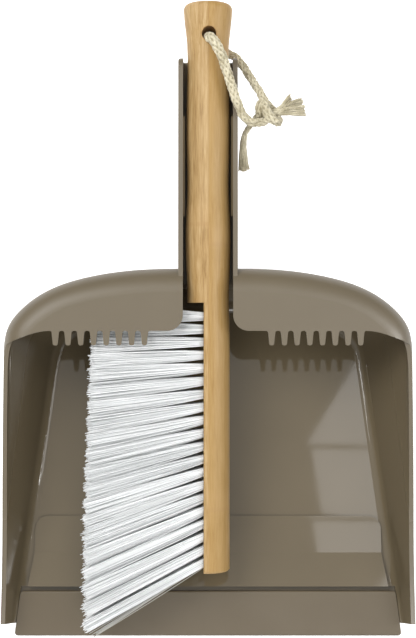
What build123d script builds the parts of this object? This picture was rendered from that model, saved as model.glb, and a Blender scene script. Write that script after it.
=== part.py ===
from build123d import *
import math
import os

# Dust pan with a brush clipped into its channel handle. Millimetres, +Z up, the pan flat on z = 0.
# +X is the pan's right side, +Y runs from the pan's mouth to the end of the handles.
# The brush and the channel share an inclined "handle frame": u across, v along the stick, w out of it.

# --- handle frame -----------------------------------------------------------------------------
HANDLE_TILT = 9.0        # degrees, rise of the stick towards the handle end
HANDLE_ORIGIN = (0.0, -0.9, 49.0)

# --- reach of the cutting solids, all outside the set ------------------------------------------
OUTSIDE = 150.0
BEFORE = -240.0
ABOVE = 140.0
OVERLAP = 1.0            # how far joined solids reach into each other

# --- pan shell --------------------------------------------------------------------------------
WALL = 2.5               # horizontal wall thickness
FLOOR = 2.4
WALL_END = -166.7        # the side walls and the floor stop here
LOFT_END = -190.0        # the blanks run past the mouth and are cut back
BACK = 16.5              # foot of the back wall
BACK_LEAN = 0.19         # outward run of the back wall for each mm of height
CORNER = -20.0           # where the straight sides start
HALF_BACK = 91.5         # foot of the side walls at CORNER
HALF_FRONT = 111.0       # foot of the side walls at WALL_END
LEAN_BACK = 0.44
LEAN_FRONT = 0.25
ROUNDING = ((0.5, 0.906), (0.78, 0.697), (0.93, 0.443))  # shares of the back corner's reach and depth
BLANK_TOP = 78.0
FOOT_FILLET = 8.5        # outside; the inside radius is less by the wall

# --- hood, given in the handle frame ----------------------------------------------------------
ROOF_UNDER = 13.6
ROOF = 2.4
ROOF_FILLET = 13.0
SLOT_HALF = 13.6
SLOT_CORNER = 8.5        # rounds the mouth of the slot into the hood's edge
SLOT_RUN = (-40.0, 70.0)     # from inside the pan to behind its back wall
HOOD_EDGE = -5.9
HOOD_EDGE_END = 85.0     # outboard of this the edge sweeps down to the side walls
HOOD_SWEEP = ((101.5, -9.8), (113.5, -17.0))
HOOD_CREST = ((-1.0, 76.0), (-8.8, 61.4), (-17.5, 55.6))    # (y, z) of the fall from hood to side rim
TOOTH_COUNT = 8
TOOTH_FIRST = 34.3
TOOTH_PITCH = 6.85
TOOTH_LENGTH = 7.8
TOOTH_ROOT = 4.3
TOOTH_TIP = 2.5
GULLET_RADIUS = 1.1      # also the radius of the tooth tips
RIM_BACK = (-32.0, 49.5)     # (y, z) of the side rim where its straight stretch starts
RIM_FRONT = (WALL_END, 16.5)

# --- channel handle, in the handle frame ------------------------------------------------------
CHANNEL_HALF = 16.2
CHANNEL_START = 12.0     # inside the hood; what is inside the pan is cut away
CHANNEL_END = 143.0
CHANNEL_FOOT_END = 144.3     # the free end slants out to here at the bottom
CHANNEL_FLOOR = -15.0
CHANNEL_CORNER = 6.0
CHANNEL_END_CORNER = 6.5
CHANNEL_FOOT_CORNER = 2.0
CHANNEL_END_EASE = 2.0   # seen from above, rounds the outside of the walls' free ends
CHANNEL_TOP_START = 13.2
CHANNEL_TOP_END = 9.0
SNAP_START = 56.7
SNAP_END = 111.0
SNAP_LOW = 4.0
SNAP_HIGH = 8.2
SNAP_DEPTH = 1.0

# --- raised front panel and rubber lip --------------------------------------------------------
PANEL_BACK = -107.0
PANEL_CREASE = -127.5
PANEL_FRONT = -146.4
PANEL_HALF_BACK = 98.4
PANEL_HALF_FRONT = 101.6
PANEL_CORNER = 7.0
PANEL_STEP_Z = 3.7
PANEL_CREASE_Z = 4.6
PANEL_RIDGE_Z = 7.6
LIP_BACK = -148.7
LIP_FRONT = -173.9
LIP_REBATE_Z = 1.2
LIP_BACK_Z = 5.4
LIP_FRONT_Z = 1.7
LIP_EDGE_Z = 0.9         # the front edge is bevelled down to this height
LIP_EDGE_RUN = 0.8
LIP_HALF = 109.3
LIP_BACK_RADIUS = 1.2
LIP_CORNER = 1.8
LIP_BACK_CORNER = 2.5
LIP_GAP = 0.4            # to the side walls' feet

# --- bamboo handle, in the handle frame -------------------------------------------------------
STICK_TOP = 173.2
STICK_CAP_RADIUS = 3.2
STICK_FLARE = (0.05, 1.0)    # direction of the outline below the cap
STICK_PROFILE = [        # (radius, v) from the block up to the flared end
    (11.9, -10.0),
    (11.5, 14.0),
    (12.4, 47.0),
    (11.4, 71.5),
    (11.8, 93.5),
    (11.4, 132.0),
    (11.6, 152.0),
    (13.4, STICK_TOP - STICK_CAP_RADIUS),
]
BLOCK_RADIUS = 11.9
BLOCK_END = -137.6
BLOCK_BEVEL = 1.0        # round the free end
BLOCK_EDGE_RADIUS = 1.2  # on the long edges of the flat face
BLOCK_FACE = -2.4        # flat face that carries the bristles
NOTCH = 9.4
HANG_HOLE = (0.6, 155.3)
HANG_HOLE_RADIUS = 4.0

# --- bristle tufts ----------------------------------------------------------------------------
TUFT_COUNT = 20
TUFT_FIRST = 2.0
TUFT_LAST = -132.4
TUFT_ROWS = (-6.5, 0.0, 6.5)
ROW_SPLAY = 1.5          # degrees outwards on the two outer rows
FAN_FIRST = -2.0         # degrees, from square to the face towards the free end of the block
FAN_LAST = 28.5
TUFT_LENGTH_FIRST = 60.5
TUFT_LENGTH_LAST = 73.5
TUFT_GROWTH = 1.4        # power of the growth in length along the block
HOLE_RADIUS = 2.4
HOLE_DEPTH = 9.0
ROOT_RADIUS = 2.25
ROOT_GAP = 0.2           # between the folded root and the bottom of its hole
TIP_RADIUS = 3.1
TIP_BEVEL = (0.8, 1.5)   # across and along the bristles
FLARE_START = 1.0        # the bundles widen from here, outside the block
ANCHOR = (2.2, 0.4, 4.5)     # flat wire: along the hole, thickness, width
ANCHOR_GAP = 0.15        # between the wire and the bottom of the hole

# --- hanging cord, routes in the handle frame -------------------------------------------------
CORD_DIAMETER = 4.8
KNOT = (31.8, 115.0, 0.0)
KNOT_RADIUS = 7.0
FRONT_STRAND = [
    (0.6, 155.3, 0.0),
    (0.6, 155.3, 17.6),
    (6.4, 145.2, 17.2),
    (9.2, 137.0, 16.5),
    (12.6, 126.5, 15.2),
    (16.0, 116.0, 15.0),
    (20.4, 108.4, 10.0),
    (28.6, 109.4, 4.6),
]
BACK_STRAND = [
    (0.6, 155.3, 0.0),
    (0.6, 155.3, -18.5),
    (10.6, 150.8, -18.2),
    (17.4, 145.9, -14.6),
    (24.0, 133.5, -6.5),
    (30.6, 120.0, -0.6),
]
SIDE_TAIL = [
    (27.6, 111.2, -1.6),
    (21.6, 106.4, -4.6),
    (19.4, 97.0, -8.6),
    (19.9, 83.4, -13.0),
]
END_TAIL = [
    (36.6, 114.2, -1.0),
    (44.0, 116.6, -3.0),
    (53.4, 118.4, -6.2),
]

HANDLE_FRAME = Plane(
    origin=HANDLE_ORIGIN,
    x_dir=(1, 0, 0),
    z_dir=(0, -math.sin(math.radians(HANDLE_TILT)), math.cos(math.radians(HANDLE_TILT))),
).location


def in_handle_frame(shape):
    return HANDLE_FRAME * shape


def block(low, high):
    """Box between two corners."""
    size = [b - a for a, b in zip(low, high)]
    middle = [(a + b) / 2 for a, b in zip(low, high)]
    return Pos(*middle) * Box(*size)


def mirrored(shape):
    """The shape and its reflection in the centre plane."""
    return shape + mirror(shape, Plane.YZ)


# --- pan --------------------------------------------------------------------------------------
def half_width(y, z, inset):
    """Half width of a wall surface at a point of the straight sides, at height z."""
    share = (CORNER - y) / (CORNER - WALL_END)
    foot = HALF_BACK + share * (HALF_FRONT - HALF_BACK)
    lean = LEAN_BACK + share * (LEAN_FRONT - LEAN_BACK)
    return foot + lean * z - inset


def plan_outline(z, inset):
    """Plan of the shell at height z: straight mouth, flaring sides, rounded back."""
    back = BACK + BACK_LEAN * z - inset
    side = half_width(CORNER, z, inset)
    mouth = half_width(LOFT_END, z, inset)
    reach = side - CHANNEL_HALF
    depth = back - CORNER
    bulge = [(CHANNEL_HALF + reach * x, CORNER + depth * y) for x, y in ROUNDING]
    flare = (mouth - side, LOFT_END - CORNER)
    with BuildSketch(Plane.XY.offset(z)) as plan:
        with BuildLine():
            curve = Spline((CHANNEL_HALF, back), *bulge, (side, CORNER), tangents=((1, 0), flare))
            side_line = Line(curve @ 1, (mouth, LOFT_END))
            Line((-CHANNEL_HALF, back), (CHANNEL_HALF, back))
            Line(side_line @ 1, (-mouth, LOFT_END))
            mirror(curve, about=Plane.YZ)
            mirror(side_line, about=Plane.YZ)
        make_face()
    return plan.sketch


def blank(inset, low, roof_under):
    """Solid body of the pan with rounded foot and roof edges."""
    body = loft([plan_outline(low, inset), plan_outline(BLANK_TOP, inset)], ruled=True)
    above = in_handle_frame(block((-OUTSIDE, BEFORE, roof_under), (OUTSIDE, ABOVE, ABOVE)))
    body -= above
    foot = [e for e in body.edges() if abs(e.center().Z - low) < 0.01 and e.center().Y > LOFT_END + 1]
    body = fillet(foot, FOOT_FILLET - inset)
    roof_plane = Plane(HANDLE_FRAME * Pos(0, 0, roof_under))
    roof = [f for f in body.faces() if abs(roof_plane.to_local_coords(f.center()).Z) < 0.01]
    edges = [e for e in roof[0].edges() if e.center().Y > LOFT_END + 5]
    return fillet(edges, ROOF_FILLET - inset)


def hood_cutters():
    """What is cut away in front of the hood: above the side rims, and all of the roof between them."""
    sweep_points = [(HOOD_EDGE_END, HOOD_EDGE), *HOOD_SWEEP]
    with BuildSketch() as plan:
        with BuildLine():
            inner = Line((SLOT_HALF, CHANNEL_START), (SLOT_HALF, HOOD_EDGE + SLOT_CORNER))
            corner = TangentArc(inner @ 1, (SLOT_HALF + SLOT_CORNER, HOOD_EDGE), tangent=(0, -1))
            Line(corner @ 1, sweep_points[0])
            outer = Spline(*sweep_points, tangents=((1, 0), (0.75, -1)))
            Polyline(outer @ 1, (OUTSIDE, -50), (OUTSIDE, BEFORE), (0, BEFORE), (0, CHANNEL_START), inner @ 0)
        make_face()
    in_front = in_handle_frame(extrude(plan.sketch, ABOVE, both=True))
    with BuildSketch(Plane.YZ) as profile:
        with BuildLine():
            slope = (RIM_FRONT[0] - RIM_BACK[0], RIM_FRONT[1] - RIM_BACK[1])
            Spline(*HOOD_CREST, RIM_BACK, tangents=((-0.4, -1), slope))
            beyond = (BEFORE, RIM_FRONT[1])
            Polyline(RIM_BACK, RIM_FRONT, beyond, (BEFORE, ABOVE), (HOOD_CREST[0][0], ABOVE), HOOD_CREST[0])
        make_face()
    above_rims = extrude(profile.sketch, OUTSIDE, both=True)
    roof_low = (-OVERLAP, BEFORE, ROOF_UNDER - OVERLAP)
    roof_slab = in_handle_frame(block(roof_low, (HOOD_EDGE_END, CHANNEL_START, ABOVE)))
    return [mirrored(in_front & above_rims), mirrored(in_front & roof_slab)]


def comb_teeth():
    """The comb along both halves of the hood's edge, in the roof's own thickness."""
    root_half = TOOTH_ROOT / 2
    tip_half = TOOTH_TIP / 2
    last = TOOTH_FIRST + (TOOTH_COUNT - 1) * TOOTH_PITCH
    with BuildSketch() as comb:
        with Locations([(TOOTH_FIRST + i * TOOTH_PITCH, 0) for i in range(TOOTH_COUNT)]):
            Polygon(
                (-root_half, 1),
                (root_half, 1),
                (tip_half, -TOOTH_LENGTH),
                (-tip_half, -TOOTH_LENGTH),
                align=None,
            )
        with Locations(((TOOTH_FIRST + last) / 2, 1.5)):
            Rectangle(last - TOOTH_FIRST + 2 * TOOTH_PITCH, 3)
        corners = comb.vertices()
        roots = [c for c in corners if abs(c.Y) < 0.01 and TOOTH_FIRST - 3 < c.X < last + 3]
        tips = [c for c in corners if c.Y < -TOOTH_LENGTH + 0.01]
        fillet(roots + tips, GULLET_RADIUS)
    solid = Pos(0, HOOD_EDGE, ROOF_UNDER) * extrude(comb.sketch, ROOF)
    return in_handle_frame(mirrored(solid))


def channel():
    """U-shaped handle channel with rounded end, open upwards."""
    length = CHANNEL_FOOT_END - CHANNEL_START
    with BuildSketch() as section:
        RectangleRounded(2 * CHANNEL_HALF, 2 * (ROOF - CHANNEL_FLOOR), CHANNEL_CORNER)
        with Locations((0, 0)):
            Rectangle(2 * SLOT_HALF, -2 * CHANNEL_FLOOR, mode=Mode.SUBTRACT)
        with Locations((0, -CHANNEL_FLOOR)):
            Rectangle(2 * SLOT_HALF, -2 * CHANNEL_FLOOR, mode=Mode.SUBTRACT)
    body = Pos(0, CHANNEL_FOOT_END, 0) * Rot(90, 0, 0) * extrude(section.sketch, length)
    bottom = CHANNEL_FLOOR - ROOF
    slant = (CHANNEL_END - CHANNEL_FOOT_END) / (CHANNEL_TOP_END - bottom)
    with BuildSketch() as plan:
        Polygon(
            (-CHANNEL_HALF, BEFORE),
            (CHANNEL_HALF, BEFORE),
            (CHANNEL_HALF, CHANNEL_END - slant * CHANNEL_TOP_END),
            (-CHANNEL_HALF, CHANNEL_END - slant * CHANNEL_TOP_END),
            align=None,
        )
        fillet(plan.vertices().sort_by(Axis.Y)[-2:], CHANNEL_END_EASE)
    body &= extrude(plan.sketch, ABOVE, dir=(0, slant, 1), both=True)
    with BuildSketch(Plane.YZ) as side_view:
        Polygon(
            (CHANNEL_START, bottom),
            (CHANNEL_FOOT_END, bottom),
            (CHANNEL_END, CHANNEL_TOP_END),
            (CHANNEL_START, CHANNEL_TOP_START),
            align=None,
        )
        end_corners = side_view.vertices().sort_by(Axis.X)[-2:]
        fillet(end_corners.sort_by(Axis.Y)[-1:], CHANNEL_END_CORNER)
        fillet(side_view.vertices().sort_by(Axis.X)[-1:], CHANNEL_FOOT_CORNER)
    body &= extrude(side_view.sketch, OUTSIDE, both=True)
    return in_handle_frame(body)


def snap_rib():
    """Bevelled rib inside one channel wall that keeps the stick down."""
    with BuildSketch() as section:
        Polygon(
            (SLOT_HALF + 0.3, SNAP_LOW),
            (SLOT_HALF + 0.3, SNAP_HIGH),
            (SLOT_HALF, SNAP_HIGH),
            (SLOT_HALF - SNAP_DEPTH, (SNAP_LOW + SNAP_HIGH) / 2),
            (SLOT_HALF, SNAP_LOW),
            align=None,
        )
    rib = Pos(0, SNAP_END, 0) * Rot(90, 0, 0) * extrude(section.sketch, SNAP_END - SNAP_START)
    return in_handle_frame(rib)


def front_panel():
    """Raised ramp across the mouth, stepped at its back edge."""
    with BuildSketch() as plan:
        Polygon(
            (-PANEL_HALF_BACK, PANEL_BACK),
            (PANEL_HALF_BACK, PANEL_BACK),
            (PANEL_HALF_BACK, PANEL_CREASE),
            (PANEL_HALF_FRONT, PANEL_FRONT),
            (-PANEL_HALF_FRONT, PANEL_FRONT),
            (-PANEL_HALF_BACK, PANEL_CREASE),
            align=None,
        )
        fillet(plan.vertices().sort_by(Axis.Y)[-2:], PANEL_CORNER)
    with BuildSketch(Plane.YZ) as profile:
        Polygon(
            (PANEL_BACK + OVERLAP, FLOOR - OVERLAP),
            (PANEL_BACK + OVERLAP, PANEL_STEP_Z),
            (PANEL_CREASE, PANEL_CREASE_Z),
            (PANEL_FRONT - OVERLAP, PANEL_RIDGE_Z),
            (PANEL_FRONT - OVERLAP, FLOOR - OVERLAP),
            align=None,
        )
    return extrude(plan.sketch, ABOVE) & extrude(profile.sketch, OUTSIDE, both=True)


def make_dustpan(inner):
    shell = blank(0, 0, ROOF_UNDER + ROOF) - inner
    shell -= block((-OUTSIDE, BEFORE, -ABOVE), (OUTSIDE, WALL_END, ABOVE))
    shell -= hood_cutters()
    shell -= in_handle_frame(block((-SLOT_HALF, SLOT_RUN[0], CHANNEL_FLOOR), (SLOT_HALF, SLOT_RUN[1], ABOVE)))
    shell += comb_teeth()
    shell += channel() - inner
    shell += mirrored(snap_rib())
    shell += front_panel()
    return shell - lip_rebate()


def lip_rebate():
    """Room between the side walls where the floor is thinned for the lip."""
    back_half = half_width(PANEL_FRONT, 0, WALL)
    end_half = half_width(WALL_END, 0, WALL)
    with BuildSketch(Plane.XY.offset(LIP_REBATE_Z)) as plan:
        Polygon(
            (-back_half, PANEL_FRONT),
            (back_half, PANEL_FRONT),
            (end_half, WALL_END - OVERLAP),
            (-end_half, WALL_END - OVERLAP),
            align=None,
        )
    return extrude(plan.sketch, PANEL_RIDGE_Z)


def make_front_lip():
    """Flexible strip moulded over the floor's front edge, thin at the front."""
    with BuildSketch(Plane.YZ) as profile:
        Polygon(
            (WALL_END, 0),
            (WALL_END, LIP_REBATE_Z),
            (LIP_BACK, LIP_REBATE_Z),
            (LIP_BACK, LIP_BACK_Z),
            (LIP_FRONT + LIP_EDGE_RUN, LIP_FRONT_Z),
            (LIP_FRONT, LIP_EDGE_Z),
            (LIP_FRONT, 0),
            align=None,
        )
        fillet(profile.vertices().sort_by(Axis.Y)[-1:], LIP_BACK_RADIUS)
    strip = extrude(profile.sketch, OUTSIDE, both=True)
    back_half = half_width(LIP_BACK, 0, WALL) - LIP_GAP
    with BuildSketch() as plan:
        Polygon(
            (-back_half, LIP_BACK),
            (back_half, LIP_BACK),
            (LIP_HALF, LIP_FRONT),
            (-LIP_HALF, LIP_FRONT),
            align=None,
        )
        fillet(plan.vertices().sort_by(Axis.Y)[:2], LIP_CORNER)
        fillet(plan.vertices().sort_by(Axis.Y)[-2:], LIP_BACK_CORNER)
    return strip & extrude(plan.sketch, ABOVE)


# --- brush ------------------------------------------------------------------------------------
def tuft_axis(i, row):
    """Location at the mouth of a tuft hole, +Z pointing out along the bristles."""
    share = i / (TUFT_COUNT - 1)
    v = TUFT_FIRST + share * (TUFT_LAST - TUFT_FIRST)
    fan = math.radians(FAN_FIRST + share * (FAN_LAST - FAN_FIRST))
    splay = math.radians(ROW_SPLAY) * (row > 0) - math.radians(ROW_SPLAY) * (row < 0)
    outward = Vector(-math.cos(fan), -math.sin(fan), math.tan(splay))
    across = Vector(0, 0, 1).cross(outward)
    return Plane(origin=(BLOCK_FACE, v, row), x_dir=across, z_dir=outward).location


def tuft_length(i):
    share = i / (TUFT_COUNT - 1)
    return TUFT_LENGTH_FIRST + share ** TUFT_GROWTH * (TUFT_LENGTH_LAST - TUFT_LENGTH_FIRST)


def all_tuft_axes():
    return [tuft_axis(i, row) for i in range(TUFT_COUNT) for row in TUFT_ROWS]


def anchor_solid():
    """Flat wire anchor lying across the bottom of a tuft hole."""
    along, thickness, width = ANCHOR
    middle = -HOLE_DEPTH + ANCHOR_GAP + along / 2
    return Pos(0, 0, middle) * Box(thickness, width, along)


def make_tuft(i):
    """Three bundles of one column, each folded round its anchor at the root."""
    length = tuft_length(i)
    root = ROOT_GAP - HOLE_DEPTH
    across, back = TIP_BEVEL
    with BuildSketch(Plane.XZ) as profile:
        Polygon(
            (0, root),
            (ROOT_RADIUS, root),
            (ROOT_RADIUS, FLARE_START),
            (TIP_RADIUS, length - back),
            (TIP_RADIUS - across, length),
            (0, length),
            align=None,
        )
    bundle = revolve(profile.sketch, Axis.Z)
    along, thickness, _ = ANCHOR
    fold = Box(thickness + ANCHOR_GAP, 2 * HOLE_RADIUS, along + 2 * ROOT_GAP)
    bundle -= Pos(0, 0, -HOLE_DEPTH + along / 2) * fold
    return Compound(children=[in_handle_frame(tuft_axis(i, row) * bundle.solid()) for row in TUFT_ROWS])


def make_tuft_anchors():
    return Compound(children=[in_handle_frame(axis * anchor_solid().solid()) for axis in all_tuft_axes()])


def make_brush_handle():
    """Turned stick whose lower part is a D-section block drilled for the tufts."""
    top = STICK_PROFILE[-1]
    with BuildSketch() as profile:
        with BuildLine():
            bevel_start = (BLOCK_RADIUS - BLOCK_BEVEL, BLOCK_END)
            bevel_end = (BLOCK_RADIUS, BLOCK_END + BLOCK_BEVEL)
            Polyline((0, BLOCK_END), bevel_start, bevel_end, STICK_PROFILE[0])
            Spline(*STICK_PROFILE, tangents=((0, 1), STICK_FLARE))
            cap = TangentArc(top, (top[0] - STICK_CAP_RADIUS, STICK_TOP), tangent=STICK_FLARE)
            Polyline(cap @ 1, (0, STICK_TOP), (0, BLOCK_END))
        make_face()
    stick = revolve(profile.sketch, Axis.Y)
    stick -= block((-OUTSIDE, BEFORE, -ABOVE), (BLOCK_FACE, NOTCH, ABOVE))
    stick -= Pos(*HANG_HOLE, 0) * Cylinder(HANG_HOLE_RADIUS, ABOVE)
    from_bottom = (Align.CENTER, Align.CENTER, Align.MIN)
    drill = Pos(0, 0, -HOLE_DEPTH) * Cylinder(HOLE_RADIUS, 2 * HOLE_DEPTH, align=from_bottom)
    stick -= [axis * drill for axis in all_tuft_axes()]
    return in_handle_frame(ease_block_edges(stick))


def ease_block_edges(stick):
    """Small radius on the two long edges of the flat face."""
    edges = [e for e in stick.edges() if abs(e.center().X - BLOCK_FACE) < 0.05 and e.length > 60]
    return fillet(edges, BLOCK_EDGE_RADIUS)


# --- hanging cord -----------------------------------------------------------------------------
def corner_radii(points):
    """Largest arc that each corner of a route has room for."""
    radii = []
    for a, b, c in zip(points, points[1:], points[2:]):
        before = Vector(b) - Vector(a)
        after = Vector(c) - Vector(b)
        half_turn = math.radians(before.get_angle(after)) / 2
        radii.append(0.45 * min(before.length, after.length) / math.tan(half_turn))
    return radii


def cord_tube(name, points):
    """Round tube along straight runs joined by tangent arcs."""
    radii = corner_radii(points)
    path = FilletPolyline(*points, radius=radii)
    start = Plane(origin=path @ 0, z_dir=path % 0)
    tube = sweep(start * Circle(CORD_DIAMETER / 2), path=path)
    ideal = math.pi * CORD_DIAMETER ** 2 / 4 * path.length
    print(name, "length", round(path.length, 1), "radii", [round(r, 1) for r in radii])
    print(name, "volume over section x length", round(tube.volume / ideal, 4))
    return tube


def make_cord(name, points):
    knot = Pos(*KNOT) * Sphere(KNOT_RADIUS)
    return in_handle_frame(cord_tube(name, points) - knot)


def make_cord_knot():
    return in_handle_frame(Pos(*KNOT) * Sphere(KNOT_RADIUS))


def write(name, shape):
    export_step(shape, f"parts/{name}.step")


os.makedirs("parts", exist_ok=True)
interior = blank(WALL, FLOOR, ROOF_UNDER)
write("dustpan", make_dustpan(interior))
write("front_lip", make_front_lip())
write("brush_handle", make_brush_handle())
write("tuft_anchors", make_tuft_anchors())
for number in range(TUFT_COUNT):
    write(f"tuft_{number + 1:02d}", make_tuft(number))
write("cord_front_strand", make_cord("cord_front_strand", FRONT_STRAND))
write("cord_back_strand", make_cord("cord_back_strand", BACK_STRAND))
write("cord_side_tail", make_cord("cord_side_tail", SIDE_TAIL))
write("cord_end_tail", make_cord("cord_end_tail", END_TAIL))
write("cord_knot", make_cord_knot())
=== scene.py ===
import math

import bpy
import numpy as np
from mathutils import Matrix, Vector


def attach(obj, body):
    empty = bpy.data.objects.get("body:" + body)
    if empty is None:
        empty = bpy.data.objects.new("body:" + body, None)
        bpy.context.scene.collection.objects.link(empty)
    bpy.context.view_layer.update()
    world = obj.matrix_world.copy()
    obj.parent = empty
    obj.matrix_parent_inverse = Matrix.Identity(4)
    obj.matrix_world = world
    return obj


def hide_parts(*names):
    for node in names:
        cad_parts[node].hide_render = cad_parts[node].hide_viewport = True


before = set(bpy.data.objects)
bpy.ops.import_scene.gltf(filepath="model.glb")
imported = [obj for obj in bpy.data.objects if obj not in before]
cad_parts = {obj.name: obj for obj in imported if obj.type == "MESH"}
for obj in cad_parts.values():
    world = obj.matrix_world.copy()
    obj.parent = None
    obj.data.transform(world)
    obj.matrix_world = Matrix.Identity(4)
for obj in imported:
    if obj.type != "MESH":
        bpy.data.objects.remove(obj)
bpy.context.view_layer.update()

# The brush and the channel share an inclined handle frame: u across, v along the stick, w out of it.
MM = 0.001
HANDLE_TILT = math.radians(9.0)
HANDLE_ORIGIN = Vector((0.0, -0.9, 49.0)) * MM
ALONG = Vector((0.0, math.cos(HANDLE_TILT), math.sin(HANDLE_TILT)))
OUT = Vector((0.0, -math.sin(HANDLE_TILT), math.cos(HANDLE_TILT)))

CORD_DIAMETER = 4.8
BLOCK_FACE = -2.4
TUFT_COUNT = 20
TUFT_FIRST = 2.0
TUFT_LAST = -132.4
TUFT_ROWS = (-6.5, 0.0, 6.5)
ROW_SPLAY = math.radians(1.5)
FAN_FIRST = math.radians(-2.0)
FAN_LAST = math.radians(28.5)
TUFT_LENGTH_FIRST = 60.0
TUFT_LENGTH_LAST = 73.0


def handle_point(u, v, w):
    """World place, in metres, of a point of the handle frame given in millimetres."""
    return HANDLE_ORIGIN + (Vector((u, 0, 0)) + ALONG * v + OUT * w) * MM


# --- camera -----------------------------------------------------------------------------------
CAMERA_DISTANCE = 0.75
CAMERA_ALONG = 0.5       # millimetres along the stick
VIEW_HEIGHT = 0.3509     # what the long side of the frame covers at the stick
SENSOR = 36.0


def add_camera():
    data = bpy.data.cameras.new("camera")
    data.sensor_width = SENSOR
    data.lens = SENSOR * CAMERA_DISTANCE / VIEW_HEIGHT
    camera = bpy.data.objects.new("camera", data)
    bpy.context.scene.collection.objects.link(camera)
    camera.matrix_world = Matrix((
        (1, 0, 0, 0),
        (0, ALONG.y, OUT.y, 0),
        (0, ALONG.z, OUT.z, 0),
        (0, 0, 0, 1),
    ))
    camera.matrix_world.translation = handle_point(0, CAMERA_ALONG, CAMERA_DISTANCE / MM)
    bpy.context.scene.camera = camera


add_camera()

# --- cord: routes in the handle frame, millimetres --------------------------------------------
FRONT_STRAND = [
    (0.0, 153.9, 0.0),
    (0.4, 154.0, 17.0),
    (6.4, 145.2, 17.2),
    (9.2, 137.0, 16.5),
    (12.6, 126.5, 15.2),
    (16.0, 116.0, 15.0),
    (20.4, 107.8, 10.6),
]
BACK_STRAND = [
    (0.0, 153.9, 0.0),
    (0.6, 155.3, -18.5),
    (10.6, 150.8, -18.2),
    (17.4, 145.9, -14.6),
    (24.0, 133.5, -6.5),
    (30.6, 122.4, -0.6),
]
SIDE_TAIL = [
    (21.6, 106.4, -4.6),
    (18.9, 97.4, -8.6),
    (20.1, 83.4, -13.0),
]
END_TAIL = [
    (44.0, 116.6, -3.0),
    (53.4, 118.4, -6.2),
]
# Inside the knot the front strand passes through a turn of the back strand.
FRONT_PASS = [
    (28.0, 106.8, 8.2),
    (32.6, 109.8, 2.2),
    (35.2, 113.4, -1.4),
    (39.0, 115.0, -1.2),
]
BACK_TURN = [
    (31.2, 115.6, 5.2),
    (33.4, 110.4, 6.6),
    (39.6, 107.6, 2.2),
    (37.6, 113.8, -7.8),
    (31.8, 120.2, -5.6),
    (28.4, 118.4, 3.6),
    (28.9, 111.8, 2.2),
]
FRONT_ROUTE = FRONT_STRAND + FRONT_PASS + END_TAIL
BACK_ROUTE = BACK_STRAND + BACK_TURN + SIDE_TAIL
CURVE_STEPS = 14         # points between two control points of a route
RUN_STEP = 0.5 * MM      # between rings of a braid
FRAY_STEP = 0.6 * MM


def smooth_path(name, route):
    """Points along the NURBS spline whose control points are the route's."""
    data = bpy.data.curves.new(name, "CURVE")
    data.dimensions = "3D"
    data.resolution_u = CURVE_STEPS
    spline = data.splines.new("NURBS")
    spline.points.add(len(route) - 1)
    for point, place in zip(spline.points, route):
        point.co = (*handle_point(*place), 1.0)
    spline.order_u = 3
    spline.use_endpoint_u = True
    holder = bpy.data.objects.new(name, data)
    mesh = bpy.data.meshes.new_from_object(holder)
    points = [v.co.copy() for v in mesh.vertices]
    bpy.data.objects.remove(holder)
    bpy.data.meshes.remove(mesh)
    return points


def evenly(points, step):
    """The same path with points a step apart."""
    table = np.array([tuple(p) for p in points])
    lengths = np.linalg.norm(np.diff(table, axis=0), axis=1)
    along = np.concatenate([[0.0], np.cumsum(lengths)])
    places = np.linspace(0.0, along[-1], max(2, round(along[-1] / step)))
    even = np.stack([np.interp(places, along, table[:, k]) for k in range(3)], axis=1)
    return even, places


FIRST_SIDE = (0.3, 0.9, 0.1)     # any direction that a path does not start along exactly


def frames_along(points):
    """Unit tangents and two normals carried along a path without twisting."""
    tangents = np.gradient(points, axis=0)
    tangents /= np.linalg.norm(tangents, axis=1)[:, None]
    first = np.cross(tangents[0], FIRST_SIDE)
    normals = [first / np.linalg.norm(first)]
    for tangent in tangents[1:]:
        carried = normals[-1] - tangent * np.dot(normals[-1], tangent)
        normals.append(carried / np.linalg.norm(carried))
    normals = np.array(normals)
    return tangents, normals, np.cross(tangents, normals)


def mesh_object(name, vertices, faces, tones=None):
    """New smooth-shaded mesh object, with an optional grey value on each vertex."""
    mesh = bpy.data.meshes.new(name)
    mesh.from_pydata([tuple(v) for v in vertices], [], faces)
    mesh.polygons.foreach_set("use_smooth", [True] * len(mesh.polygons))
    if tones is not None:
        layer = mesh.color_attributes.new("tone", "FLOAT_COLOR", "POINT")
        colours = np.repeat(np.asarray(tones, dtype=np.float32)[:, None], 4, axis=1)
        layer.data.foreach_set("color", colours.ravel())
    mesh.update()
    piece = bpy.data.objects.new(name, mesh)
    bpy.context.scene.collection.objects.link(piece)
    return piece


def tube_faces(rings, sides, first):
    """Quads of a closed tube, with its two end caps."""
    faces = []
    for i in range(rings - 1):
        low = first + i * sides
        for k in range(sides):
            nxt = (k + 1) % sides
            faces.append((low + k, low + nxt, low + sides + nxt, low + sides + k))
    faces.append(tuple(first + k for k in reversed(range(sides))))
    faces.append(tuple(first + (rings - 1) * sides + k for k in range(sides)))
    return faces


CARRIERS = 6             # yarns each way round the braid
YARN_SIDES = 8
BRAID_LAY = 27.0 * MM    # length of one turn of a yarn round the cord
YARN_RADIUS = 0.80 * MM
CORE_SHARE = 0.74
CORE_SIDES = 16
# The core gets a low tone: painted shade where it shows between the yarns.
CORE_SHADE_TONE = 0.3
BACKWARD_PHASE = 0.25    # of a carrier's share of the turn
WEAVE_DEPTH = 0.30       # how far a yarn dips under another, as a share of its radius
WANDER = 0.10 * MM
WANDER_STOPS = 24
PLUMP_RANGE = (0.86, 1.08)
PLUMP_STOPS = 30
YARN_TONE = (0.86, 1.0)
SHADE_LIFT_FROM = 0.62         # share of the cord's radius, from its axis, where the tone starts to rise out of the painted shade
SHADE_LIFT_SPAN = 0.42


def girth(share, stops):
    """Local thickness of a soft cord, as a share of its diameter."""
    places, values = zip(*stops)
    return np.interp(share, places, values)


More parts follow.
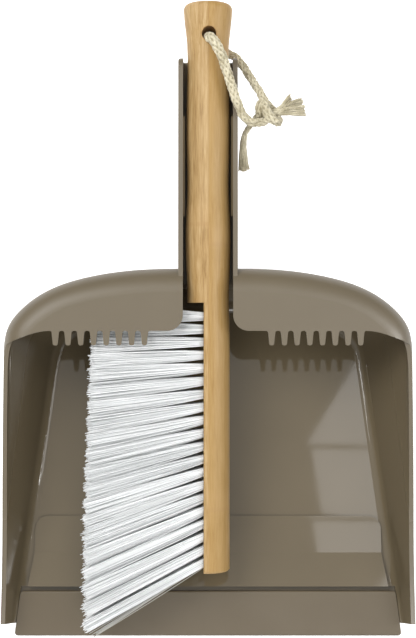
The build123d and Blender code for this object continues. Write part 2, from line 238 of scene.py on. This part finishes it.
def round_rings(points, across, outward, radius, sides):
    """Rings of a tube about a line, as an array of line points x sides."""
    angles = np.linspace(0, 2 * math.pi, sides, endpoint=False)
    reach = np.asarray(radius)[:, None]
    return (
        points[:, None, :]
        + (reach * np.cos(angles))[:, :, None] * across[:, None, :]
        + (reach * np.sin(angles))[:, :, None] * outward[:, None, :]
    )


def along_run(along, values):
    """Values given at even stops of a run, read at every ring."""
    return np.interp(along, np.linspace(0, along[-1], len(values)), values)


def braid(name, path, stops, seed):
    """Soft braided cord: yarns that pass over and under each other round a core."""
    rng = np.random.default_rng(seed)
    points, along = evenly(path, RUN_STEP)
    normals, sides = frames_along(points)[1:]
    thick = girth(along / along[-1], stops) * CORD_DIAMETER * MM / 2
    vertices = []
    faces = []
    tones = []
    for way in (1, -1):
        for c in range(CARRIERS):
            phase = 2 * math.pi * (c + BACKWARD_PHASE * (way < 0)) / CARRIERS
            turn = phase + way * 2 * math.pi * along / BRAID_LAY
            weave = way * np.cos(CARRIERS * (2 * math.pi * along / BRAID_LAY) + math.pi * c)
            reach = thick - YARN_RADIUS * (1.0 - WEAVE_DEPTH * weave)
            reach = reach + along_run(along, rng.normal(0, WANDER, WANDER_STOPS))
            outward = np.cos(turn)[:, None] * normals + np.sin(turn)[:, None] * sides
            centre = points + reach[:, None] * outward
            yarn_normals, yarn_sides = frames_along(centre)[1:]
            plump = YARN_RADIUS * along_run(along, rng.uniform(*PLUMP_RANGE, PLUMP_STOPS))
            ring = round_rings(centre, yarn_normals, yarn_sides, plump, YARN_SIDES)
            # The tone falls towards the cord's axis: painted shade in the crevices between yarns, times each
            # yarn's own random tone.
            height = np.linalg.norm(ring - points[:, None, :], axis=2) / thick[:, None]
            own = rng.uniform(*YARN_TONE)
            tones += list((own * np.clip((height - SHADE_LIFT_FROM) / SHADE_LIFT_SPAN, 0, 1)).ravel())
            faces += tube_faces(len(points), YARN_SIDES, len(vertices))
            vertices += list(ring.reshape(-1, 3))
    ring = round_rings(points, normals, sides, thick * CORE_SHARE, CORE_SIDES)
    faces += tube_faces(len(points), CORE_SIDES, len(vertices))
    vertices += list(ring.reshape(-1, 3))
    tones += [CORE_SHADE_TONE] * (len(points) * CORE_SIDES)
    return mesh_object(name, vertices, faces, tones)


def thin_tubes(name, lines, radius, sides=4, taper=0.5, tones=None):
    """One mesh of many thin tubes. Each line is an array of points."""
    vertices = []
    faces = []
    tone_list = []
    for index, line in enumerate(lines):
        normals, across = frames_along(line)[1:]
        ring = round_rings(line, normals, across, radius * np.linspace(1.0, taper, len(line)), sides)
        faces += tube_faces(len(line), sides, len(vertices))
        vertices += list(ring.reshape(-1, 3))
        if tones is not None:
            tone_list += [tones[index]] * (len(line) * sides)
    return mesh_object(name, vertices, faces, tone_list if tones is not None else None)


FRAY_RADIUS = 0.27 * MM
FRAY_TAPER = 0.7
FRAY_TONE = (0.45, 1.0)
FRAY_TRIM = (0.88, 1.0)
WAVE = 0.16 * MM
WAVE_PHASES = 6.3
WAVE_TURNS = (8, 7)      # radians along the fray, across and outward
SPLIT_EVERY = 4          # one yarn in so many belongs to the strand that splits off
SPLIT_OFFSET = (0.6, 0.45)
SPLIT_BEND = 0.9
SPLIT_TRIM = 0.06
FUZZ_RADIUS = 0.035 * MM
FUZZ_TAPER = 0.4
FUZZ_ROOT = 0.42         # of the cord's diameter, from its axis
FUZZ_REACH = (0.8, 2.1)
FUZZ_STEPS = 5
FUZZ_END_GAP = 8         # rings left bare at both ends
FUZZ_LEAN = (0.8, 0.55, 0.35)    # along the cord, outward, and any way


def fray(name, path, length, wide, flat, count, seed, narrow, haste, split=None):
    """Loose yarns that splay out of the end of a cord, in the plane of the stick.

    split says where along the fray a strand splits off, how far it goes in millimetres,
    and how much of it is left.
    """
    rng = np.random.default_rng(seed)
    points, along = evenly(path, FRAY_STEP)
    tangents = frames_along(points)[0]
    across = np.cross(np.array(OUT), tangents)
    across /= np.linalg.norm(across, axis=1)[:, None]
    outward = np.cross(tangents, across)
    start = np.searchsorted(along, along[-1] - length)
    stretch = np.arange(start, len(points))
    share = np.linspace(0, 1, len(stretch))
    half = CORD_DIAMETER * MM / 2
    lines = []
    for k in range(count):
        a = rng.uniform(-1, 1)
        b = rng.uniform(-1, 1) * math.sqrt(1 - a * a)
        grow = narrow + (wide - narrow) * share ** haste
        thin = narrow + (flat - narrow) * share
        wave = rng.normal(0, WAVE, 2)
        phase = rng.uniform(0, WAVE_PHASES)
        da = half * a * grow + wave[0] * np.sin(share * WAVE_TURNS[0] + phase)
        db = half * b * thin + wave[1] * np.cos(share * WAVE_TURNS[1] + phase)
        splits = split and k % SPLIT_EVERY == 0
        if splits:
            away = np.clip(share - split[0], 0, 1) ** SPLIT_BEND
            da = half * (SPLIT_OFFSET[0] + SPLIT_OFFSET[1] * a) * grow + split[1] * MM * away
        line = points[stretch] + da[:, None] * across[stretch] + db[:, None] * outward[stretch]
        keep = max(4, round(len(line) * rng.uniform(*FRAY_TRIM)))
        if splits:
            keep = round(len(line) * rng.uniform(split[2] - SPLIT_TRIM, split[2]))
        lines.append(line[:keep])
    tones = rng.uniform(*FRAY_TONE, count)
    return thin_tubes(name, lines, FRAY_RADIUS, taper=FRAY_TAPER, tones=tones)


def fuzz(name, path, count, seed):
    """Short stray fibres standing off a cord."""
    rng = np.random.default_rng(seed)
    points = evenly(path, RUN_STEP)[0]
    tangents, normals, sides = frames_along(points)
    lines = []
    for _ in range(count):
        i = int(rng.integers(FUZZ_END_GAP, len(points) - FUZZ_END_GAP))
        angle = rng.uniform(0, 2 * math.pi)
        off = math.cos(angle) * normals[i] + math.sin(angle) * sides[i]
        root = points[i] + off * CORD_DIAMETER * MM * FUZZ_ROOT
        lean = tangents[i] * rng.normal(0, FUZZ_LEAN[0]) + off * FUZZ_LEAN[1] + rng.normal(0, FUZZ_LEAN[2], 3)
        reach = rng.uniform(*FUZZ_REACH) * MM
        share = np.linspace(0, 1, FUZZ_STEPS)[:, None]
        curl = rng.normal(0, FUZZ_LEAN[2], 3) * MM
        lines.append(root + lean * reach * share + curl * share ** 2)
    return thin_tubes(name, lines, FUZZ_RADIUS, sides=3, taper=FUZZ_TAPER)


front_path = smooth_path("front_route", FRONT_ROUTE)
back_path = smooth_path("back_route", BACK_ROUTE)
# Share of the way along each cord, and its thickness there as a share of the diameter.
FRONT_GIRTH = (
    (0.0, 1.08), (0.12, 1.18), (0.35, 1.10), (0.6, 0.98),
    (0.82, 0.88), (0.87, 0.6), (0.92, 0.5), (1.0, 0.4),
)
BACK_GIRTH = (
    (0.0, 1.0), (0.15, 0.98), (0.40, 0.95), (0.47, 1.12), (0.56, 1.0), (0.66, 1.18),
    (0.76, 1.14), (0.81, 0.72), (0.86, 0.58), (0.94, 0.6), (1.0, 0.5),
)
cord_front = braid("cord_front", front_path, FRONT_GIRTH, seed=21)
cord_back = braid("cord_back", back_path, BACK_GIRTH, seed=22)
fray_end = fray(
    "cord_fray_end", front_path, length=19 * MM, wide=2.3, flat=0.7, count=190, seed=12,
    narrow=0.5, haste=0.85, split=(0.3, 10.5, 0.66),
)
fray_side = fray(
    "cord_fray_side", back_path, length=21 * MM, wide=1.35, flat=0.75, count=150, seed=11,
    narrow=0.56, haste=1.9,
)
fuzz_front = fuzz("cord_fuzz_front", front_path, count=320, seed=13)
fuzz_back = fuzz("cord_fuzz_back", back_path, count=360, seed=14)

# --- materials --------------------------------------------------------------------------------


def new_material(name, **sockets):
    """Principled material; what is the same all over is set on the shader itself."""
    material = bpy.data.materials.new(name)
    material.use_nodes = True
    shader = material.node_tree.nodes["Principled BSDF"]
    for key, value in sockets.items():
        shader.inputs[key.replace("_", " ")].default_value = value
    return material, material.node_tree, shader


def node(tree, kind, **settings):
    """New shader node. Each setting is one of its properties or else one of its inputs."""
    made = tree.nodes.new(kind)
    for key, value in settings.items():
        if hasattr(made, key):
            setattr(made, key, value)
        else:
            made.inputs[key.replace("_", " ")].default_value = value
    return made


def link(tree, source, target):
    tree.links.new(source, target)


def colour_ramp(tree, factor, stops):
    """Colour read off a ramp of places and colours."""
    ramp = node(tree, "ShaderNodeValToRGB")
    elements = ramp.color_ramp.elements
    while len(elements) < len(stops):
        elements.new(0.5)
    for element, (place, colour) in zip(elements, stops):
        element.position = place
        element.color = (*colour, 1)
    link(tree, factor, ramp.inputs["Fac"])
    return ramp.outputs["Color"]


def spread_value(tree, value, low, high, from_low=0.0, from_high=1.0):
    """The range from_low to from_high of a value, mapped to the range low to high."""
    span = node(tree, "ShaderNodeMapRange")
    span.inputs["From Min"].default_value = from_low
    span.inputs["From Max"].default_value = from_high
    span.inputs["To Min"].default_value = low
    span.inputs["To Max"].default_value = high
    link(tree, value, span.inputs["Value"])
    return span.outputs["Result"]


def maths(tree, operation, a, b=None):
    """One step of arithmetic. Each operand may be a constant or a socket."""
    made = node(tree, "ShaderNodeMath", operation=operation)
    for socket, value in zip(made.inputs, (a, b)):
        if value is None:
            continue
        if isinstance(value, (int, float)):
            socket.default_value = value
        else:
            link(tree, value, socket)
    return made.outputs["Value"]


def mix_colour(tree, factor, a, b):
    """Colour between a and b. Each of the three may be a constant or a socket."""
    made = node(tree, "ShaderNodeMix", data_type="RGBA")
    amount = next(s for s in made.inputs if s.name == "Factor" and s.type == "VALUE")
    colours = [s for s in made.inputs if s.type == "RGBA"]
    for target, value in zip((amount, *colours), (factor, a, b)):
        if isinstance(value, (int, float)):
            target.default_value = value
        elif isinstance(value, tuple):
            target.default_value = (*value, 1)
        else:
            link(tree, value, target)
    return [s for s in made.outputs if s.type == "RGBA"][0]


def object_coordinates(tree):
    return node(tree, "ShaderNodeTexCoord").outputs["Object"]


def noise(tree, vector, scale, detail=3.0, roughness=0.5):
    made = node(tree, "ShaderNodeTexNoise")
    made.inputs["Scale"].default_value = scale
    made.inputs["Detail"].default_value = detail
    made.inputs["Roughness"].default_value = roughness
    link(tree, vector, made.inputs["Vector"])
    return made.outputs["Fac"]


def bump(tree, shader, height, strength, distance):
    """Relief in a shader's normal, of a height times a distance in metres."""
    made = node(tree, "ShaderNodeBump")
    made.inputs["Strength"].default_value = strength
    made.inputs["Distance"].default_value = distance
    link(tree, height, made.inputs["Height"])
    link(tree, made.outputs["Normal"], shader.inputs["Normal"])


def stretched(tree, vector, scale):
    """A vector scaled by its own amount along each axis."""
    made = node(tree, "ShaderNodeMapping")
    made.inputs["Scale"].default_value = scale
    link(tree, vector, made.inputs["Vector"])
    return made.outputs["Vector"]


PAN_ROUGHNESS = (0.035, 0.44)    # polished floor, matt rim
PAN_RISE = (0.006, 0.048)        # heights in metres between which it changes


def pan_material():
    material, tree, shader = new_material("moulded_taupe", Specular_IOR_Level=0.5)
    where = object_coordinates(tree)
    tint = noise(tree, where, scale=14, detail=4)
    base = colour_ramp(tree, tint, [(0.3, (0.113, 0.089, 0.054)), (0.7, (0.127, 0.101, 0.062))])
    link(tree, base, shader.inputs["Base Color"])
    split = node(tree, "ShaderNodeSeparateXYZ")
    link(tree, where, split.inputs[0])
    low_down = spread_value(tree, split.outputs["Z"], *PAN_ROUGHNESS, *PAN_RISE)
    uneven = spread_value(tree, noise(tree, where, scale=60, detail=4), -0.01, 0.02)
    link(tree, maths(tree, "ADD", low_down, uneven), shader.inputs["Roughness"])
    peel = noise(tree, where, scale=900, detail=2)
    flow = noise(tree, where, scale=45, detail=3)
    both = maths(tree, "ADD", maths(tree, "MULTIPLY", peel, 0.35), flow)
    bump(tree, shader, both, strength=0.015, distance=0.0003)
    return material


def lip_material():
    material, tree, shader = new_material("lip_rubber", Specular_IOR_Level=0.4)
    where = object_coordinates(tree)
    tint = noise(tree, where, scale=30, detail=4)
    base = colour_ramp(tree, tint, [(0.3, (0.104, 0.080, 0.048)), (0.7, (0.115, 0.090, 0.056))])
    link(tree, base, shader.inputs["Base Color"])
    rough = spread_value(tree, noise(tree, where, scale=90, detail=3), 0.40, 0.55)
    link(tree, rough, shader.inputs["Roughness"])
    bump(tree, shader, noise(tree, where, scale=1500, detail=2), strength=0.12, distance=0.0002)
    return material


def handle_coordinates(tree):
    """Object coordinates turned and moved into the handle frame."""
    turned = node(tree, "ShaderNodeMapping", vector_type="TEXTURE")
    turned.inputs["Location"].default_value = tuple(HANDLE_ORIGIN)
    turned.inputs["Rotation"].default_value = (HANDLE_TILT, 0, 0)
    link(tree, object_coordinates(tree), turned.inputs["Vector"])
    return turned.outputs["Vector"]


BAND_CORE = 0.4          # share of a band that is at full strength


def band(tree, value, centre, half):
    """1 within a band about a value, falling softly to 0."""
    away = maths(tree, "ABSOLUTE", maths(tree, "SUBTRACT", value, centre))
    return spread_value(tree, away, 1.0, 0.0, half * BAND_CORE, half)


# In the handle frame, metres.
PLY_EDGE = (0.0002, 0.0005)
GLUE_LINE = (0.0003, 0.0004)
HOLE_CENTRE = (0.0006, 0.1553, 0.0)
HOLE_RIM = (0.00405, 0.0046)
BAMBOO_NODES = (         # place along the stick, and whether on the right ply
    (0.052, False), (0.041, True), (-0.078, False), (-0.103, True), (0.148, True),
)
NODE_EDGE = 0.0016       # half the width of the dark line
NODE_HALO = (0.004, 0.008)       # how far beyond it a paler band lies, and half its width
# Scale of the grain across, along and out of the stick: long and thin.
FIBRE_SCALE = (1250, 75, 1250)
STREAK_SCALE = (330, 7, 330)
CLOUD_SCALE = (60, 14, 60)
# How strongly each colour covers the one below it.
RIGHT_PLY_AND_SHADE_COVER = 0.58
GLUE_COVER = 0.35
HOLE_SHADE_COVER = 0.85
HOLE_WALL_ROUGHNESS = 0.4


def bamboo_material():
    material, tree, shader = new_material("bamboo", Specular_IOR_Level=0.14)
    where = handle_coordinates(tree)
    split = node(tree, "ShaderNodeSeparateXYZ")
    link(tree, where, split.inputs[0])
    u, v = split.outputs[:2]
    fibres = noise(tree, stretched(tree, where, FIBRE_SCALE), scale=1.0, detail=4, roughness=0.65)
    streaks = noise(tree, stretched(tree, where, STREAK_SCALE), scale=1.0, detail=3)
    clouds = noise(tree, stretched(tree, where, CLOUD_SCALE), scale=1.0, detail=2)
    grain = maths(tree, "ADD", maths(tree, "MULTIPLY", fibres, 0.55), maths(tree, "MULTIPLY", streaks, 0.45))
    base = colour_ramp(
        tree,
        grain,
        [
            (0.34, (0.22, 0.118, 0.034)),
            (0.47, (0.37, 0.232, 0.092)),
            (0.58, (0.455, 0.31, 0.148)),
            (0.70, (0.54, 0.40, 0.22)),
        ],
    )
    base = mix_colour(tree, spread_value(tree, clouds, 0.0, 0.35, 0.4, 0.7), base, (0.50, 0.36, 0.19))
    # The right ply has a darker tone of its own, laid on more strongly as painted shade of the stick's right
    # side.
    right_ply_and_shade = spread_value(tree, u, 0.0, 1.0, *PLY_EDGE)
    base = mix_colour(tree, maths(tree, "MULTIPLY", right_ply_and_shade, RIGHT_PLY_AND_SHADE_COVER), base, (0.355, 0.215, 0.066))
    glue = maths(tree, "MULTIPLY", band(tree, u, *GLUE_LINE), GLUE_COVER)
    base = mix_colour(tree, glue, base, (0.33, 0.20, 0.09))
    for place, on_right in BAMBOO_NODES:
        here = right_ply_and_shade if on_right else maths(tree, "SUBTRACT", 1.0, right_ply_and_shade)
        edge = band(tree, v, place, NODE_EDGE)
        halo = band(tree, v, place + NODE_HALO[0], NODE_HALO[1])
        for ring, strength, colour in ((edge, 0.30, (0.34, 0.20, 0.08)), (halo, 0.18, (0.48, 0.31, 0.14))):
            amount = maths(tree, "MULTIPLY", maths(tree, "MULTIPLY", ring, here), strength)
            base = mix_colour(tree, amount, base, colour)
    level = stretched(tree, where, (1, 1, 0))
    hole = node(tree, "ShaderNodeVectorMath", operation="DISTANCE")
    link(tree, level, hole.inputs[0])
    hole.inputs[1].default_value = HOLE_CENTRE
    # Painted shade: the wall of the hang hole is tinted a flat brown, and made rougher.
    hole_wall_shade = spread_value(tree, hole.outputs["Value"], 1.0, 0.0, *HOLE_RIM)
    base = mix_colour(tree, maths(tree, "MULTIPLY", hole_wall_shade, HOLE_SHADE_COVER), base, (0.42, 0.25, 0.10))
    link(tree, base, shader.inputs["Base Color"])
    satin = spread_value(tree, streaks, 0.38, 0.52)
    rough = maths(tree, "ADD", satin, maths(tree, "MULTIPLY", hole_wall_shade, HOLE_WALL_ROUGHNESS))
    link(tree, rough, shader.inputs["Roughness"])
    bump(tree, shader, grain, strength=0.10, distance=0.0003)
    return material


def bristle_material():
    material, tree, shader = new_material("bristle_filament", Specular_IOR_Level=0.45, Roughness=0.42)
    tone = node(tree, "ShaderNodeAttribute", attribute_name="tone")
    base = colour_ramp(
        tree,
        tone.outputs["Fac"],
        [(0.0, (0.30, 0.27, 0.20)), (0.28, (0.46, 0.48, 0.48)), (0.7, (0.97, 0.98, 0.98))],
    )
    shade = noise(tree, object_coordinates(tree), scale=400, detail=2)
    base = mix_colour(tree, spread_value(tree, shade, 0.0, 0.2), base, (0.5, 0.51, 0.52))
    link(tree, base, shader.inputs["Base Color"])
    bump(tree, shader, shade, strength=0.05, distance=0.0001)
    return material


def wire_material():
    material, tree, shader = new_material("anchor_wire", Metallic=1.0)
    where = object_coordinates(tree)
    tint = noise(tree, where, scale=300)
    base = colour_ramp(tree, tint, [(0.3, (0.42, 0.42, 0.43)), (0.7, (0.6, 0.6, 0.61))])
    link(tree, base, shader.inputs["Base Color"])
    link(tree, spread_value(tree, noise(tree, where, scale=500), 0.25, 0.45), shader.inputs["Roughness"])
    return material


def cord_material():
    material, tree, shader = new_material(
        "cotton_cord", Roughness=0.9, Sheen_Weight=0.2, Specular_IOR_Level=0.2
    )
    where = object_coordinates(tree)
    fibres = noise(tree, where, scale=2600, detail=4, roughness=0.7)
    patches = noise(tree, where, scale=160, detail=3)
    both = maths(tree, "ADD", maths(tree, "MULTIPLY", fibres, 0.6), maths(tree, "MULTIPLY", patches, 0.4))
    base = colour_ramp(
        tree, both, [(0.36, (0.34, 0.295, 0.185)), (0.5, (0.58, 0.525, 0.375)), (0.64, (0.78, 0.73, 0.57))]
    )
    tone = node(tree, "ShaderNodeAttribute", attribute_name="tone")
    # A low tone mixes in dark brown: painted shade between the yarns and on the core.
    crevice_shade = spread_value(tree, tone.outputs["Fac"], 0.62, 0.0, 0.30, 0.90)
    base = mix_colour(tree, crevice_shade, base, (0.22, 0.18, 0.10))
    link(tree, base, shader.inputs["Base Color"])
    bump(tree, shader, fibres, strength=0.35, distance=0.0002)
    return material


PAN = pan_material()
LIP = lip_material()
BAMBOO = bamboo_material()
BRISTLE = bristle_material()
WIRE = wire_material()
CORD = cord_material()


def dress(name, material):
    """Give a kept CAD node its detailed material."""
    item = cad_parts[name]
    item.data.materials.clear()
    item.data.materials.append(material)


dress("dustpan", PAN)
dress("front_lip", LIP)
dress("brush_handle", BAMBOO)
dress("tuft_anchors", WIRE)

# --- bristles ---------------------------------------------------------------------------------
FILAMENTS = 105
FILAMENT_RADIUS = 0.19
BUNDLE_RADIUS = 2.05
FILAMENT_STEPS = np.array([0.0, 0.1, 0.22, 0.36, 0.54, 0.76, 0.96, 1.0])
GOLDEN_ANGLE = math.pi * (3 - math.sqrt(5))
ROOT_DEPTH = 3.0
FILAMENT_TAPER = 0.85
STRAYS = 10              # loose filaments below the last tuft
STRAY_GAP = 1.9
HIGHEST = 12.9           # nothing reaches the hood's underside
LENGTH_GROWTH = 1.4
EARLY_FLARE = 0.20       # share of the flare that comes just after the block
FLARE_START = 0.04
FLARE_RUN = 0.1
TIP_SPREAD_ALONG = 2.3   # how far a bundle opens towards its tip
TIP_SPREAD_UP = 1.75
LAST_TIP_SPREAD = 0.95   # by how much less the last column opens
LAST_COLUMNS = 10        # power of the share that picks out the last columns
# Random spreads: lengths and places in millimetres, angles in degrees, the rest shares.
BRISTLE_SEED = 7
LENGTH_SHARE_SPREAD = 0.01
LENGTH_SPREAD = 0.45
TIP_SPREAD_RANDOM = (0.55, 0.5)      # along the block and upward
LAST_TIP_RANDOM = 0.2                # by how much less for the last column
BOW_SPREAD = 0.22
BRISTLE_TONE = (0.35, 1.0)
STRAY_FAN = (2.2, 4.4)
STRAY_LENGTH = (0.93, 1.015)
STRAY_SPREAD = 0.4
STRAY_BOW = 0.5
STRAY_TIP_SPREAD = 0.8
STRAY_TIP_UP = 0.5
STRAY_TONE = (0.0, 0.25)


def tuft_line(i):
    """Share along the block, place along it and fan angle of a tuft column."""
    share = i / (TUFT_COUNT - 1)
    v = TUFT_FIRST + share * (TUFT_LAST - TUFT_FIRST)
    return share, v, FAN_FIRST + share * (FAN_LAST - FAN_FIRST)


def filament(start, outward, along_block, upward, a, b, tip_a, tip_b, bow, length):
    """Centre line of one filament, in metres, flaring soon after the block and then less."""
    line = []
    for t in FILAMENT_STEPS:
        early = 1 - math.exp(-max(0.0, t - FLARE_START) / FLARE_RUN)
        flare = EARLY_FLARE * early + (1 - EARLY_FLARE) * t
        la = a + (tip_a - a) * flare + bow[0] * math.sin(math.pi * t)
        lb = b + (tip_b - b) * flare + bow[1] * math.sin(math.pi * t)
        out = -ROOT_DEPTH + (length + ROOT_DEPTH) * t
        local = start + outward * out + along_block * la + upward * lb
        local.z = min(local.z, HIGHEST)
        line.append(tuple(handle_point(*local)))
    return np.array(line)


def directions(fan, row):
    """Outward, along the block and upward, for a bundle of a column."""
    splay = ROW_SPLAY * ((row > 0) - (row < 0))
    outward = Vector((-math.cos(fan), -math.sin(fan), math.tan(splay))).normalized()
    along_block = Vector((0, 0, 1)).cross(outward).normalized()
    return outward, along_block, outward.cross(along_block)


def bristle_lines(i, rng):
    """Centre lines of all the filaments of one column, in metres."""
    share, v, fan = tuft_line(i)
    reach = TUFT_LENGTH_FIRST + share ** LENGTH_GROWTH * (TUFT_LENGTH_LAST - TUFT_LENGTH_FIRST)
    last = share ** LAST_COLUMNS
    lines = []
    for row in TUFT_ROWS:
        outward, along_block, upward = directions(fan, row)
        start = Vector((BLOCK_FACE, v, row))
        for k in range(FILAMENTS):
            base = BUNDLE_RADIUS * math.sqrt((k + 0.5) / FILAMENTS)
            a = base * math.cos(k * GOLDEN_ANGLE)
            b = base * math.sin(k * GOLDEN_ANGLE)
            length = reach * rng.normal(1.0, LENGTH_SHARE_SPREAD) + rng.normal(0, LENGTH_SPREAD)
            loose = TIP_SPREAD_RANDOM[0] - LAST_TIP_RANDOM * last
            tip_a = a * (TIP_SPREAD_ALONG - LAST_TIP_SPREAD * last) + rng.normal(0, loose)
            tip_b = b * TIP_SPREAD_UP + rng.normal(0, TIP_SPREAD_RANDOM[1])
            bow = rng.normal(0, BOW_SPREAD, 2)
            lines.append(filament(start, outward, along_block, upward, a, b, tip_a, tip_b, bow, length))
    return lines


def stray_lines(rng):
    """Loose filaments that hang below the last tuft."""
    v, fan = tuft_line(TUFT_COUNT - 1)[1:]
    lines = []
    for k in range(STRAYS):
        row = TUFT_ROWS[k % 2 + 1]
        outward, along_block, upward = directions(fan + math.radians(rng.uniform(*STRAY_FAN)), row)
        start = Vector((BLOCK_FACE, v - STRAY_GAP, row))
        a = rng.normal(0, STRAY_SPREAD)
        length = TUFT_LENGTH_LAST * rng.uniform(*STRAY_LENGTH)
        bow = rng.normal(0, STRAY_BOW, 2)
        tip_a = a + rng.normal(0, STRAY_TIP_SPREAD)
        lines.append(filament(start, outward, along_block, upward, a, 0, tip_a, STRAY_TIP_UP, bow, length))
    return lines


def add_bristles():
    rng = np.random.default_rng(BRISTLE_SEED)
    for i in range(TUFT_COUNT):
        lines = bristle_lines(i, rng)
        tones = list(rng.uniform(*BRISTLE_TONE, len(lines)))
        if i == TUFT_COUNT - 1:
            lines += stray_lines(rng)
            tones += list(rng.uniform(*STRAY_TONE, STRAYS))
        name = f"bristles_{i + 1:02d}"
        piece = thin_tubes(name, lines, FILAMENT_RADIUS * MM, taper=FILAMENT_TAPER, tones=tones)
        piece.data.materials.append(BRISTLE)
        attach(piece, "brush")
        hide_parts(f"tuft_{i + 1:02d}")


add_bristles()

# --- what the cord pieces ride on -------------------------------------------------------------
for piece in (cord_front, cord_back, fray_side, fray_end, fuzz_front, fuzz_back):
    piece.data.materials.append(CORD)
    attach(piece, "brush")

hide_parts("cord_front_strand", "cord_end_tail", "cord_knot")
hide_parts("cord_back_strand", "cord_side_tail", "cord_knot")

# --- floor and light --------------------------------------------------------------------------
FLOOR_HALF = 3.0
FLOOR_DROP = 0.0005      # keeps the floor clear of the pan's flat underside
SOFTBOX_HEIGHT = 1.3


def glowing_mesh(name, corners, faces, **sockets):
    """Flat mesh of the studio, in a material that gives off white light."""
    mesh = bpy.data.meshes.new(name)
    mesh.from_pydata(corners, [], faces)
    piece = bpy.data.objects.new(name, mesh)
    bpy.context.scene.collection.objects.link(piece)
    material = new_material(name, Emission_Color=(1, 1, 1, 1), **sockets)[0]
    piece.data.materials.append(material)
    return piece


def add_floor():
    ways = ((-1, -1), (1, -1), (1, 1), (-1, 1))
    corners = [(x * FLOOR_HALF, y * FLOOR_HALF, -FLOOR_DROP) for x, y in ways]
    floor = glowing_mesh(
        "studio_floor", corners, [(0, 1, 2, 3)],
        Roughness=0.8, Base_Color=(0.85, 0.85, 0.85, 1), Emission_Strength=0.62,
    )


def add_softbox():
    """Bright panel in two parts, high over the right side; the glossy floor of the pan mirrors its edge."""
    upper = [(0.226, 0.142), (0.151, 0.019), (0.6, 0.014), (0.75, 0.25), (0.3, 0.262)]
    lower = [(0.158, 0.012), (0.172, -0.085), (0.6, -0.16), (0.6, 0.010)]
    faces = [tuple(range(len(upper))), tuple(range(len(upper), len(upper) + len(lower)))]
    corners = [(x, y, SOFTBOX_HEIGHT) for x, y in upper + lower]
    box = glowing_mesh("softbox", corners, faces, Base_Color=(0.0, 0.0, 0.0, 1), Emission_Strength=3.4)


def add_area_light(name, place, size, power, aim=(0, -0.03, 0.03), glint=False):
    """Rectangular light; a glint shows only in glossy reflections."""
    data = bpy.data.lights.new(name, "AREA")
    data.shape = "RECTANGLE"
    data.size, data.size_y = size
    data.energy = power
    light = bpy.data.objects.new(name, data)
    bpy.context.scene.collection.objects.link(light)
    light.location = place
    light.rotation_euler = (Vector(aim) - Vector(place)).to_track_quat("-Z", "Y").to_euler()
    light.visible_diffuse = not glint


WORLD_STRENGTH = (0.12, 0.95)
WORLD_RISE = (0.15, 0.95)        # how far up the sky the first and the second are reached


def add_world():
    """Pale surroundings, bright overhead and dim near the horizon."""
    world = bpy.data.worlds.new("studio")
    bpy.context.scene.world = world
    world.use_nodes = True
    tree = world.node_tree
    split = node(tree, "ShaderNodeSeparateXYZ")
    link(tree, node(tree, "ShaderNodeTexCoord").outputs["Generated"], split.inputs[0])
    shade = spread_value(tree, split.outputs["Z"], *WORLD_STRENGTH, *WORLD_RISE)
    background = tree.nodes["Background"]
    background.inputs["Color"].default_value = (1, 1, 1, 1)
    link(tree, shade, background.inputs["Strength"])


add_floor()
add_world()
add_softbox()
add_area_light("key_light", (-0.66, 0.40, 1.25), (0.7, 0.8), 13.5)
add_area_light("right_light", (0.90, -0.05, 0.85), (0.2, 0.8), 2.5)
add_area_light("right_glint", (0.98, -0.05, 0.86), (0.26, 0.9), 16, glint=True)
add_area_light("front_light", (0.10, -1.10, 1.20), (0.9, 0.5), 7)
bpy.context.scene.view_settings.view_transform = "Standard"
